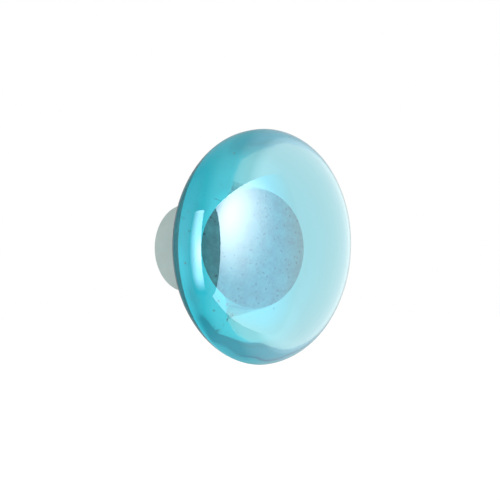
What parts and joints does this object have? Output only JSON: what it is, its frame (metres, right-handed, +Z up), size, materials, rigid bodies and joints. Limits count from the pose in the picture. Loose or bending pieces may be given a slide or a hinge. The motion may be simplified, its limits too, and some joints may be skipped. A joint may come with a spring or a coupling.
{
  "type": "cabinet knob",
  "caption": "Mushroom-shaped solid glass knob on a plain metal shank, fixed from behind by a machine screw, for pulling a drawer or cabinet door.",
  "frame": {"origin": "centre of the flat mounting face at the back of the shank", "axes": "+Y along the knob's axis, out of the mounting face towards the door; the glass head faces -Y; +Z up"},
  "size_m": [0.038, 0.027, 0.038],
  "materials": {
    "aqua_glass": "fire-polished aqua glass with a faint lustre, a few seeds and bubbles",
    "clear_adhesive": "cured adhesive, mottled with small specks",
    "satin_metal": "matt pale grey-green",
    "brass": "turned and tapped"
  },
  "bodies": {
    "root": {"glass_head": "aqua_glass", "bond_film": "clear_adhesive", "shank": "satin_metal", "threaded_insert": "brass"}
  },
  "joints": []
}
